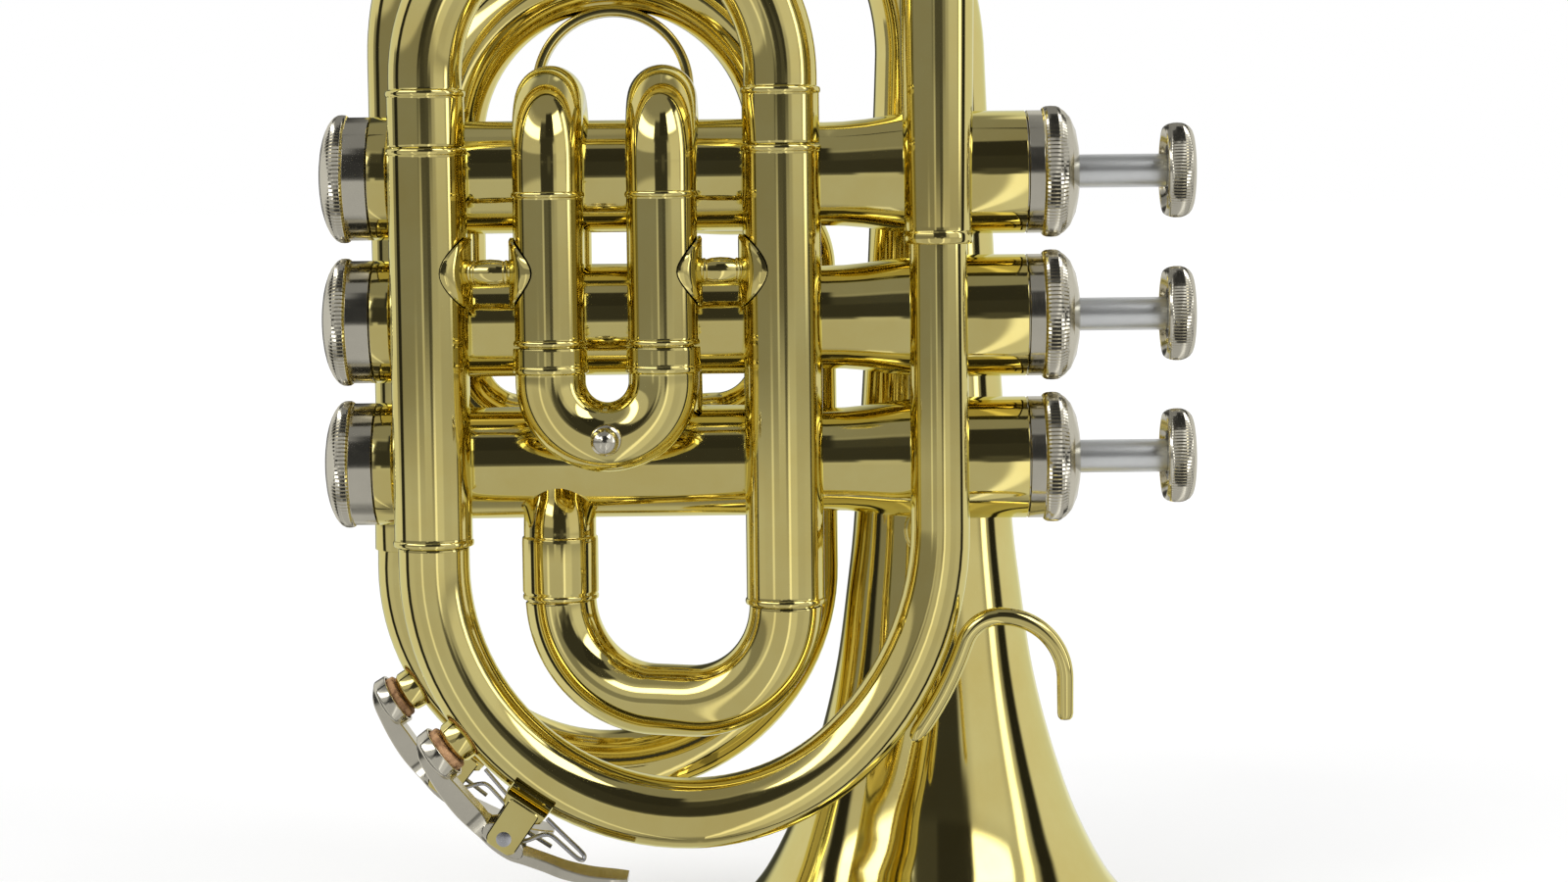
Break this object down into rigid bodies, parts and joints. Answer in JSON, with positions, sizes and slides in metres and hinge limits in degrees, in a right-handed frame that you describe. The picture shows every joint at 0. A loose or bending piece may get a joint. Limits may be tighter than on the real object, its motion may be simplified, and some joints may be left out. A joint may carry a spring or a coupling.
{
  "type": "pocket trumpet",
  "caption": "Compact lacquered-brass trumpet with piston valves, pull slides, a tightly wrapped bell, a finger ring, a finger hook and sprung water keys.",
  "frame": {"origin": "centre of the bell's rim, in the rim's plane", "axes": "+Z from the bell's rim up to the mouthpiece receiver, +X towards the finger buttons, -Y towards the side with the first slide's knob"},
  "size_m": [0.1561, 0.1122, 0.2249],
  "materials": {
    "lacquered_brass": "clear-lacquered, polished",
    "nickel_plate": "polished, with knurled edges on the caps",
    "spring_steel": "bright drawn wire",
    "nylon": "plain",
    "cork": "fine-grained natural cork"
  },
  "bodies": {
    "horn": {"valve_1_casing": "lacquered_brass", "valve_1_bottom_cap": "nickel_plate", "valve_1_top_cap": "nickel_plate", "valve_1_guide": "nylon", "valve_1_spring": "spring_steel", "valve_2_casing": "lacquered_brass", "valve_2_bottom_cap": "nickel_plate", "valve_2_top_cap": "nickel_plate", "valve_2_guide": "nylon", "valve_2_spring": "spring_steel", "valve_3_casing": "lacquered_brass", "valve_3_bottom_cap": "nickel_plate", "valve_3_top_cap": "nickel_plate", "valve_3_guide": "nylon", "valve_3_spring": "spring_steel", "knuckle_1_2": "lacquered_brass", "knuckle_2_3": "lacquered_brass", "lead_pipe": "lacquered_brass", "mouthpiece_receiver": "lacquered_brass", "main_tube_upper": "lacquered_brass", "main_tube_lower": "lacquered_brass", "lower_bow": "lacquered_brass", "valve_3_entry_tube": "lacquered_brass", "slide_1_tube_low": "lacquered_brass", "slide_1_tube_high": "lacquered_brass", "slide_2_tube_low": "lacquered_brass", "slide_2_tube_high": "lacquered_brass", "slide_3_tube_low": "lacquered_brass", "slide_3_tube_high": "lacquered_brass", "bell_branch": "lacquered_brass", "bell": "lacquered_brass", "finger_hook": "lacquered_brass", "brace_upper_tube": "lacquered_brass", "brace_lower_tube": "lacquered_brass", "bell_brace": "lacquered_brass", "water_key_front_pin": "spring_steel", "water_key_front_saddle": "lacquered_brass", "water_key_front_spring": "spring_steel", "water_key_rear_pin": "spring_steel", "water_key_rear_saddle": "lacquered_brass", "water_key_rear_spring": "spring_steel"},
    "valve_1_action": {"valve_1_piston": "nickel_plate", "valve_1_stem": "nickel_plate", "valve_1_button": "nickel_plate"},
    "valve_2_action": {"valve_2_piston": "nickel_plate", "valve_2_stem": "nickel_plate", "valve_2_button": "nickel_plate"},
    "valve_3_action": {"valve_3_piston": "nickel_plate", "valve_3_stem": "nickel_plate", "valve_3_button": "nickel_plate"},
    "tuning_slide": {"main_tuning_slide": "lacquered_brass"},
    "slide_1": {"slide_1_crook": "lacquered_brass", "slide_1_knob": "nickel_plate"},
    "slide_2": {"slide_2_crook": "lacquered_brass"},
    "slide_3": {"slide_3_bow": "lacquered_brass", "slide_3_finger_ring": "lacquered_brass"},
    "water_key_front": {"water_key_front_lever": "nickel_plate", "water_key_front_cork": "cork"},
    "water_key_rear": {"water_key_rear_lever": "nickel_plate", "water_key_rear_cork": "cork"}
  },
  "joints": [
    {"name": "valve_1_press", "type": "slide", "parent": "horn", "child": "valve_1_action", "axis": [-1, 0, 0], "range_m": [0, 0.015], "stiffness_N_per_m": 90, "springref_m": -0.015, "deforming": ["valve_1_spring"]},
    {"name": "valve_2_press", "type": "slide", "parent": "horn", "child": "valve_2_action", "axis": [-1, 0, 0], "range_m": [0, 0.015], "stiffness_N_per_m": 90, "springref_m": -0.015, "deforming": ["valve_2_spring"]},
    {"name": "valve_3_press", "type": "slide", "parent": "horn", "child": "valve_3_action", "axis": [-1, 0, 0], "range_m": [0, 0.015], "stiffness_N_per_m": 90, "springref_m": -0.015, "deforming": ["valve_3_spring"]},
    {"name": "tuning_slide_pull", "type": "slide", "parent": "horn", "child": "tuning_slide", "axis": [0, 0, 1], "range_m": [0, 0.025]},
    {"name": "slide_1_pull", "type": "slide", "parent": "horn", "child": "slide_1", "axis": [0, 0, -1], "range_m": [0, 0.008]},
    {"name": "slide_2_pull", "type": "slide", "parent": "horn", "child": "slide_2", "axis": [0, 1, 0], "range_m": [0, 0.012]},
    {"name": "slide_3_pull", "type": "slide", "parent": "horn", "child": "slide_3", "axis": [0, 0, 1], "range_m": [0, 0.015]},
    {"name": "water_key_front_open", "type": "hinge", "parent": "horn", "child": "water_key_front", "pos_m": [-0.0772, -0.05, 0.0315], "axis": [0, -1, 0], "range_deg": [0, 12], "stiffness_Nm_per_rad": 0.03, "springref_deg": -57.3, "deforming": ["water_key_front_spring"]},
    {"name": "water_key_rear_open", "type": "hinge", "parent": "horn", "child": "water_key_rear", "pos_m": [-0.09285, 0, 0.03185], "axis": [0, -1, 0], "range_deg": [0, 12], "stiffness_Nm_per_rad": 0.03, "springref_deg": -57.3, "deforming": ["water_key_rear_spring"]}
  ]
}
